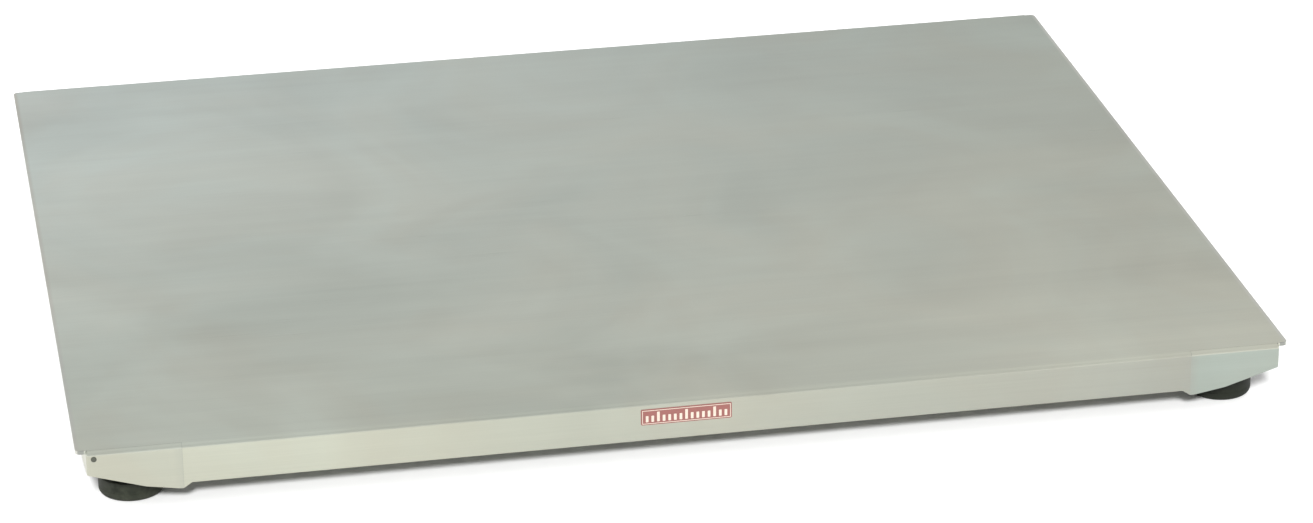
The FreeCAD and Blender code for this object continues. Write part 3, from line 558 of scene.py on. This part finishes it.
def makeSole(corner):
    soleNode = "foot_sole_" + corner
    low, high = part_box(soleNode)
    radius = (high[0] - low[0]) / 2
    top = high[2]
    centre = Matrix.Translation(((low[0] + high[0]) / 2, (low[1] + high[1]) / 2, 0.0))
    edge, lip = soleLook["edge"], soleLook["lip"]
    profile = [(0.0, soleLook["floorSheet"]), (soleLook["spigot"], soleLook["floorSheet"]),
               (soleLook["spigot"], top), (radius - lip, top)]
    profile += arcSteps((radius - lip, top - lip), lip, 75, 0, 4)
    profile += arcSteps((radius - edge, edge), edge, 0, -90, 9)
    for middle in reversed(soleLook["grooves"]):
        half, deep = soleLook["grooveWidth"] / 2, soleLook["grooveDepth"]
        flat = soleLook["grooveFloor"] * half
        profile += [(middle + half, 0.0), (middle + flat, deep), (middle - flat, deep), (middle - half, 0.0)]
    profile.append((0.0, 0.0))
    shape = bmesh.new()
    spun(shape, profile, centre)
    addPiece("sole_" + corner, shape, "foot_" + corner, "sole_rubber", stands=[soleNode])


print("pieces: threaded stems and lock nuts")
stemLook = {
    "pitch": 0.0015,
    "crest": 0.0050,
    "root": 0.0042,
    "neck": 0.0041,
    "rowStep": 0.00025,
    "sides": 48,
    "runOut": 0.0015,
    "tip": 0.0008,
    "flank": 1.25,              # how soon a flank reaches its crest
}


def makeStem(corner):
    low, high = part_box("foot_stem_" + corner)
    centre = jointPoint("stem_turn_" + corner)
    ballRadius = centre.z - low[2]
    neckLevel = centre.z + math.sqrt(ballRadius ** 2 - stemLook["neck"] ** 2)
    rows = [(0.0, low[2], 0.0)]
    for turn in range(-84, 60, 6):
        angle = math.radians(turn)
        level = centre.z + ballRadius * math.sin(angle)
        if level < neckLevel:
            rows.append((ballRadius * math.cos(angle), level, 0.0))
    level = neckLevel
    last = high[2] - stemLook["tip"]
    while level < last:
        fade = min(1.0, (level - neckLevel) / stemLook["runOut"], (last - level) / stemLook["runOut"])
        rows.append((stemLook["neck"], level, fade))
        level += stemLook["rowStep"]
    rows += [(stemLook["neck"], last, 0.0), (stemLook["neck"] - stemLook["tip"], high[2], 0.0),
             (0.0, high[2], 0.0)]
    shape = bmesh.new()
    rings = []
    for radius, level, fade in rows:
        points = []
        for k in range(stemLook["sides"] if radius > 0 else 1):
            share = k / stemLook["sides"]
            phase = ((level - centre.z) / stemLook["pitch"] - share) % 1.0
            tooth = min(1.0, stemLook["flank"] * (1.0 - abs(2.0 * phase - 1.0)))
            reach = radius + fade * tooth * (stemLook["crest"] - stemLook["neck"])
            points.append((centre.x + reach * math.cos(math.tau * share),
                           centre.y + reach * math.sin(math.tau * share), level))
        rings.append(ringOf(shape, points))
    for below, above in zip(rings, rings[1:]):
        bridge(shape, below, above)
    addPiece("stem_" + corner, shape, "stem_" + corner, "stem_steel",
             stands=["foot_stem_" + corner], sharp=50.0)


nutLook = {
    "bore": 0.00508,
    "lead": 0.0006,             # chamfer of the bore
    "face": 0.96,               # washer face over the flats
    "slope": 0.52,              # chamfer's fall per unit of radius
    "perSide": 12,
}


def makeNut(corner):
    low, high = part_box("lock_nut_" + corner)
    middle = Vector(((low[0] + high[0]) / 2, (low[1] + high[1]) / 2, 0.0))
    flats = (high[1] - low[1]) / 2
    face = flats * nutLook["face"]
    bore, lead = nutLook["bore"], nutLook["lead"]
    count = 6 * nutLook["perSide"]
    outline = []
    for k in range(count):
        turn = math.tau * k / count
        reach = flats / math.cos((turn % (math.pi / 3)) - math.pi / 6)
        outline.append((turn, reach, (reach - face) * nutLook["slope"]))
    rows = [[(turn, bore, low[2] + lead) for turn, reach, fall in outline],
            [(turn, bore + lead, low[2]) for turn, reach, fall in outline],
            [(turn, face, low[2]) for turn, reach, fall in outline],
            [(turn, reach, low[2] + fall) for turn, reach, fall in outline],
            [(turn, reach, high[2] - fall) for turn, reach, fall in outline],
            [(turn, face, high[2]) for turn, reach, fall in outline],
            [(turn, bore + lead, high[2]) for turn, reach, fall in outline],
            [(turn, bore, high[2] - lead) for turn, reach, fall in outline]]
    shape = bmesh.new()
    rings = [ringOf(shape, [(middle.x + reach * math.cos(turn), middle.y + reach * math.sin(turn), level)
                            for turn, reach, level in row]) for row in rows]
    for one, other in zip(rings, rings[1:] + rings[:1]):
        bridge(shape, one, other)
    addPiece("nut_" + corner, shape, "nut_" + corner, "nut_steel",
             stands=["lock_nut_" + corner], sharp=20.0)


for corner in corners:
    makeSole(corner)
    makeStem(corner)
    makeNut(corner)

print("pieces: label and corner plug")


def makeLabel():
    # plain sheet with a raised border and a row of graduation marks
    low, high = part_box("badge")
    middle = ((low[0] + high[0]) / 2, (low[2] + high[2]) / 2)
    halfWide, halfHigh = (high[0] - low[0]) / 2, (high[2] - low[2]) / 2
    back = high[1]
    ground, raised = back - labelLook["groundDepth"], back - labelLook["printDepth"]
    inset, wide, chamfer = labelLook["borderInset"], labelLook["borderWidth"], labelLook["chamfer"]
    shape = bmesh.new()

    def loop(step, depth):
        radius = max(labelLook["cornerRadius"] - step, labelLook["leastRadius"])
        outline = roundedOutline(halfWide - step, halfHigh - step, radius)
        return ringOf(shape, [(middle[0] + x, depth, middle[1] + z) for x, z in outline])

    steps = [loop(0.0, back), loop(0.0, ground + chamfer), loop(chamfer, ground), loop(inset, ground),
             loop(inset + chamfer, raised), loop(inset + wide, raised), loop(inset + wide + chamfer, ground)]
    for one, other in zip(steps, steps[1:]):
        bridge(shape, one, other)
    shape.faces.new(steps[-1])
    shape.faces.new(steps[0])
    margin = 3 * inset
    room = 2 * (halfWide - margin) / labelLook["marks"]
    narrower, lower = labelLook["markDraft"]
    for index in range(labelLook["marks"]):
        tall = index % labelLook["longEvery"] == labelLook["longEvery"] // 2
        height = labelLook["longMark"] if tall else labelLook["shortMark"]
        x = middle[0] - halfWide + margin + (index + 0.5) * room
        z = middle[1] - labelLook["longMark"] / 2 + height / 2
        outline = roundedOutline(labelLook["markWidth"] / 2, height / 2, labelLook["markRadius"], 3)
        foot = ringOf(shape, [(x + u, ground, z + v) for u, v in outline])
        top = ringOf(shape, [(x + narrower * u, raised, z + lower * v) for u, v in outline])
        bridge(shape, foot, top)
        shape.faces.new(top)
        shape.faces.new(foot)
    addPiece("frontLabel", shape, "platform", "badge_red", stands=["badge"])


plugLook = {
    "edge": 0.0003,
    "dimple": 0.0010,
    "dimpleDepth": 0.00025,
    "shank": 0.00184,
}


def makePlug():
    low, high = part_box("corner_plug")
    radius = (high[0] - low[0]) / 2
    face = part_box("top_plate")[0][1]
    proud = face - low[1]
    place = (Matrix.Translation(((low[0] + high[0]) / 2, face, (low[2] + high[2]) / 2))
             @ Matrix.Rotation(math.radians(90), 4, "X"))
    edge, deep = plugLook["edge"], high[1] - face
    profile = [(0.0, -deep), (plugLook["shank"] - edge, -deep), (plugLook["shank"], -deep + edge),
               (plugLook["shank"], 0.0), (radius, 0.0), (radius, proud - 2 * edge * 0.6),
               (radius - 0.4 * edge, proud - 0.6 * edge), (radius - edge, proud - 0.1 * edge),
               (radius - 2 * edge, proud), (plugLook["dimple"] + edge, proud),
               (plugLook["dimple"], proud - 0.4 * plugLook["dimpleDepth"]),
               (0.5 * plugLook["dimple"], proud - plugLook["dimpleDepth"]),
               (0.0, proud - plugLook["dimpleDepth"])]
    shape = bmesh.new()
    spun(shape, profile, place, sides=40)
    addPiece("plugCap", shape, "platform", "plug_black", stands=["corner_plug"])


makeLabel()
makePlug()

print("pieces: dressed seams at the corner shoes")
seamLook = {
    "recess": 0.00005,
    "thick": 0.0016,
    "overlap": 0.00004,
    "gap": 0.0002,
    "bend": 0.0040,
    "arcSteps": 10,
    "foot": 0.0004,             # clear of the shoe's lower edge
    "sideFoot": 0.022,
    "sideHead": 0.0031,         # below the plate
}


def makeSeams(corner):
    # filler in the joints of a shoe, a hair below the sheets' faces
    across, along = corners[corner]
    plateLow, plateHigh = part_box("top_plate")
    shoeLow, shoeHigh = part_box("corner_shoe_" + corner)
    inner = min(abs(shoeLow[0]), abs(shoeHigh[0]))
    outer = max(abs(shoeLow[0]), abs(shoeHigh[0]))
    sideEnd = min(abs(shoeLow[1]), abs(shoeHigh[1]))
    half, top, low = plateHigh[1], plateHigh[2], plateLow[2]
    gap, bend, recess, thick, over, foot = (
        seamLook[key] for key in ("gap", "bend", "recess", "thick", "overlap", "foot"))
    shape = bmesh.new()

    def extruded(profile, start, end, axis):
        # axis 0 runs the profile (y, z) along X, axis 1 runs (x, z) along Y, axis 2 runs (x, y) along Z
        rings = []
        for level in (start, end):
            points = [{0: (level, a, b), 1: (a, level, b), 2: (a, b, level)}[axis] for a, b in profile]
            rings.append(ringOf(shape, [(across * x, along * y, z) for x, y, z in points]))
        bridge(shape, *rings)
        shape.faces.new(rings[0])
        shape.faces.new(rings[1])

    outside = [(half - recess, low + foot)]
    outside += arcSteps((half - bend, top - bend), bend - recess, 0, 90, seamLook["arcSteps"])
    inside = arcSteps((half - bend, top - bend), bend - thick, 90, 0, seamLook["arcSteps"])
    inside += [(half - thick, low + foot)]
    extruded(outside + inside, inner - gap - over, inner + over, 0)
    shelf = [(half - bend - over, top - recess), (half - bend + gap + over, top - recess),
             (half - bend + gap + over, top - thick), (half - bend - over, top - thick)]
    extruded(shelf, inner, outer - recess, 0)
    side = [(outer - recess, sideEnd - gap - over), (outer - recess, sideEnd + over),
            (outer - thick, sideEnd + over), (outer - thick, sideEnd - gap - over)]
    extruded(side, seamLook["sideFoot"], top - seamLook["sideHead"], 2)
    addPiece("seams_" + corner, shape, "platform", "shoe_steel", look="seam")


for corner in corners:
    makeSeams(corner)

print("pieces: welds under the plate")
weldLook = {
    "leg": 0.0032,
    "crown": 0.0009,
    "ripple": 0.0016,           # one coin of the bead
    "perRipple": 4,
    "valley": 0.82,             # height between two coins
    "endRise": 6,               # how fast a bead grows from its ends
    "endSize": 0.25,
    "ribStitch": 0.030,
    "ribStitches": 7,
    "ribSpread": 0.37,          # outermost stitch from the middle
    "blockInset": 0.005,
    "shoeWall": 0.003,          # sheet of the shoe's side
    "shoeRise": (0.024, 0.048),
    "halfGap": 0.0001,
    "arcSteps": 6,
    "root": 0.0002,             # how far a bead bites into its corner
}


def runWeld(shape, start, end, first, second, crown):
    # a bead of overlapping coins; first and second are the ways its two legs lie
    start, end = Vector(start), Vector(end)
    first, second, crown = Vector(first), Vector(second), Vector(crown).normalized()
    length = (end - start).length
    count = max(8, round(length / weldLook["ripple"] * weldLook["perRipple"]))
    rings = []
    for k in range(count + 1):
        share = k / count
        taper = min(1.0, weldLook["endRise"] * min(share, 1 - share) + weldLook["endSize"])
        swell = abs(math.sin(math.pi * share * length / weldLook["ripple"]))
        coin = weldLook["valley"] + (1 - weldLook["valley"]) * swell
        leg = weldLook["leg"] * taper * coin
        place = start.lerp(end, share)
        points = [place - crown * weldLook["root"]]
        for step in range(weldLook["arcSteps"] + 1):
            part = step / weldLook["arcSteps"]
            bulge = weldLook["crown"] * taper * coin * math.sin(math.pi * part)
            points.append(place + first * leg * (1 - part) + second * leg * part + crown * bulge)
        rings.append(ringOf(shape, points))
    for one, other in zip(rings, rings[1:]):
        bridge(shape, one, other)
    shape.faces.new(rings[0])
    shape.faces.new(rings[-1])


def makeRibWelds():
    shape = bmesh.new()
    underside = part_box("stiffener_1")[1][2]
    spread, reach = weldLook["ribSpread"], weldLook["ribStitch"] / 2
    for name in ("stiffener_1", "stiffener_2", "stiffener_3", "stiffener_4"):
        low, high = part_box(name)
        for edge, way in ((low[1], -1), (high[1], 1)):
            for index in range(weldLook["ribStitches"]):
                x = -spread + 2 * spread * index / (weldLook["ribStitches"] - 1)
                runWeld(shape, (x - reach, edge, underside), (x + reach, edge, underside), (0, way, 0),
                        (0, 0, -0.6), (0, way, -1))
    addPiece("ribWelds", shape, "platform", "rib_steel", look="weld", sharp=60.0)


def makeBlockWelds(corner):
    low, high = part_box("mount_block_" + corner)
    top, inset = high[2], weldLook["blockInset"]
    shape = bmesh.new()
    for x, way in ((low[0], -1), (high[0], 1)):
        runWeld(shape, (x, low[1] + inset, top), (x, high[1] - inset, top), (way, 0, 0), (0, 0, -1),
                (way, 0, -1))
    addPiece("blockWelds_" + corner, shape, "platform", "block_steel", look="weld", sharp=60.0)


def makeShoeWelds(corner):
    # upright beads inside the side seam, where the shoe meets the channel's outer wall
    across, along = corners[corner]
    low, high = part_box("corner_shoe_" + corner)
    wall = max(abs(low[0]), abs(high[0])) - weldLook["shoeWall"]
    seam = min(abs(low[1]), abs(high[1])) - weldLook["halfGap"]
    start, end = weldLook["shoeRise"]
    shape = bmesh.new()
    runWeld(shape, (across * wall, along * seam, start), (across * wall, along * seam, end),
            (0, along, 0), (0, -along, 0), (-across, 0, 0))
    addPiece("shoeWeld_" + corner, shape, "platform", "shoe_steel", look="weld", sharp=60.0)


makeRibWelds()
for corner in corners:
    makeBlockWelds(corner)
    makeShoeWelds(corner)

print("pieces: junction box lid and lead sleeves")
lidLook = {
    "radius": 0.0040,
    "bevel": 0.0008,
    "land": 0.0115,             # flat round the screws
    "step": 0.0009,
    "panelDepth": 0.0008,
    "innerRadius": 0.0015,
}


def makeLid():
    low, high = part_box("junction_lid")
    halfWide, halfDeep = (high[0] - low[0]) / 2, (high[1] - low[1]) / 2
    middle = ((low[0] + high[0]) / 2, (low[1] + high[1]) / 2)
    base, top = low[2], high[2]
    bevel, land, panel = lidLook["bevel"], lidLook["land"], lidLook["panelDepth"]
    shape = bmesh.new()
    rings = []
    for inset, level in ((0.0, top), (0.0, base + bevel), (0.3 * bevel, base + 0.3 * bevel), (bevel, base),
                         (land, base), (land + lidLook["step"], base + panel)):
        radius = max(lidLook["radius"] - inset, lidLook["innerRadius"])
        outline = roundedOutline(halfWide - inset, halfDeep - inset, radius)
        rings.append(ringOf(shape, [(middle[0] + x, middle[1] + y, level) for x, y in outline]))
    for one, other in zip(rings, rings[1:]):
        bridge(shape, one, other)
    shape.faces.new(rings[0])
    shape.faces.new(rings[-1])
    addPiece("boxLid", shape, "platform", "box_plastic", stands=["junction_lid"])


sleeveLook = {
    "length": 0.016,
    "wide": 0.0046,
    "narrow": 0.0031,
    "ribs": 4,
    "ribDepth": 0.0005,
    "perRib": 8,
    "collar": 0.04,             # plain share of the length
}


def makeSleeves():
    # ribbed strain reliefs where the leads leave the load cells
    collar = sleeveLook["collar"]
    shape = bmesh.new()
    for corner in corners:
        along = corners[corner][1]
        low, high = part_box("load_cell_" + corner)
        leadLow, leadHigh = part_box("cell_cable_" + corner)
        inner = min(abs(low[1]), abs(high[1]))
        level = (leadLow[2] + leadHigh[2]) / 2
        turn = Matrix.Rotation(math.radians(90 * along), 4, "X")
        place = Matrix.Translation(((low[0] + high[0]) / 2, along * inner, level)) @ turn
        profile = [(0.0, 0.0), (sleeveLook["wide"], 0.0)]
        steps = sleeveLook["perRib"] * sleeveLook["ribs"]
        for k in range(steps + 1):
            share = k / steps
            wave = abs(math.sin(math.pi * share * sleeveLook["ribs"]))
            radius = sleeveLook["wide"] + (sleeveLook["narrow"] - sleeveLook["wide"]) * share
            profile.append((radius - sleeveLook["ribDepth"] * (1 - wave) * (1 - share),
                            sleeveLook["length"] * (collar + (1 - collar) * share)))
        profile.append((0.0, sleeveLook["length"]))
        spun(shape, profile, place, sides=32)
    addPiece("leadSleeves", shape, "platform", "lead_jacket", sharp=60.0)


makeLid()
makeSleeves()

print("stage: floor, lights and camera")
stageLook = {
    "floorHalf": 30.0,
    "floorDrop": 0.0002,
    "paper": 0.93,
    "band": 0.80,               # dome's radiance up to mid height
    "overhead": 0.90,
    "riseStart": 0.62,          # sine of the height where the band ends
    "riseEnd": 0.90,
    "leftLift": 0.06,
    "key": 4.3,
    "keyElevation": 35.0,
    "keyAzimuth": 10.7,
    "keyAngle": 9.0,
    "aim": (0.0205, -0.1234, 0.056),
    "azimuth": 10.743,
    "elevation": 23.60,
    "roll": 0.534,
    "distance": 3.8897,
    "lens": 123.43,
    "sensor": 36.0,
    "clipEnd": 200.0,
}


def makeFloor():
    mesh = bpy.data.meshes.new("studioFloor")
    half = stageLook["floorHalf"]
    outline = [(-half, -half, 0), (half, -half, 0), (half, half, 0), (-half, half, 0)]
    mesh.from_pydata(outline, [], [(0, 1, 2, 3)])
    floor = bpy.data.objects.new("studioFloor", mesh)
    bpy.context.scene.collection.objects.link(floor)

    def paper(tree):
        place = where(tree)
        fibre = noise(tree, place, 40.0, 2.0)
        tone = stageLook["paper"] + (fibre - 0.5) * 0.01
        return {"Base Color": node(tree, "ShaderNodeCombineColor", None, {0: tone, 1: tone, 2: tone}),
                "Roughness": 0.9}

    mesh.materials.append(finish("studioPaper", paper))
    floor.location.z = -stageLook["floorDrop"]


def makeSky():
    world = bpy.data.worlds.new("studioDome")
    world.use_nodes = True
    tree = world.node_tree
    direction = node(tree, "ShaderNodeTexCoord", output=0)
    side = node(tree, "ShaderNodeSeparateXYZ", None, {0: direction}, output=0)
    up = node(tree, "ShaderNodeSeparateXYZ", None, {0: direction}, output=2)
    strength = ramped(tree, up, stageLook["band"], stageLook["overhead"],
                      stageLook["riseStart"], stageLook["riseEnd"])
    strength = strength - side * stageLook["leftLift"]
    plug(tree, tree.nodes["Background"].inputs["Strength"], strength)
    plug(tree, tree.nodes["Background"].inputs["Color"], (1.0, 1.0, 1.0))
    bpy.context.scene.world = world


def fromAngles(azimuth, elevation):
    # the way from the object to a viewer or a light, azimuth 0 in front
    azimuth, elevation = math.radians(azimuth), math.radians(elevation)
    return Vector((-math.sin(azimuth) * math.cos(elevation), -math.cos(azimuth) * math.cos(elevation),
                   math.sin(elevation)))


def makeKey():
    # broad lamp above the viewer; it lights the floor and the dull pieces only
    lamp = bpy.data.lights.new("keyLamp", "SUN")
    lamp.energy = stageLook["key"]
    lamp.angle = math.radians(stageLook["keyAngle"])
    key = bpy.data.objects.new("keyLamp", lamp)
    back = fromAngles(stageLook["keyAzimuth"], stageLook["keyElevation"])
    key.matrix_world = (-back).to_track_quat("-Z", "Y").to_matrix().to_4x4()
    key.visible_glossy = False
    bpy.context.scene.collection.objects.link(key)


def makeCamera():
    camera = bpy.data.objects.new("frontCamera", bpy.data.cameras.new("frontCamera"))
    camera.data.lens = stageLook["lens"]
    camera.data.sensor_width = stageLook["sensor"]
    camera.data.clip_end = stageLook["clipEnd"]
    back = fromAngles(stageLook["azimuth"], stageLook["elevation"])
    turn = (-back).to_track_quat("-Z", "Y").to_matrix().to_4x4()
    roll = Matrix.Rotation(-math.radians(stageLook["roll"]), 4, "Z")
    place = Matrix.Translation(Vector(stageLook["aim"]) + back * stageLook["distance"])
    camera.matrix_world = place @ turn @ roll
    bpy.context.scene.collection.objects.link(camera)
    bpy.context.scene.camera = camera


makeFloor()
makeSky()
makeKey()
makeCamera()
bpy.context.scene.view_settings.view_transform = "Standard"
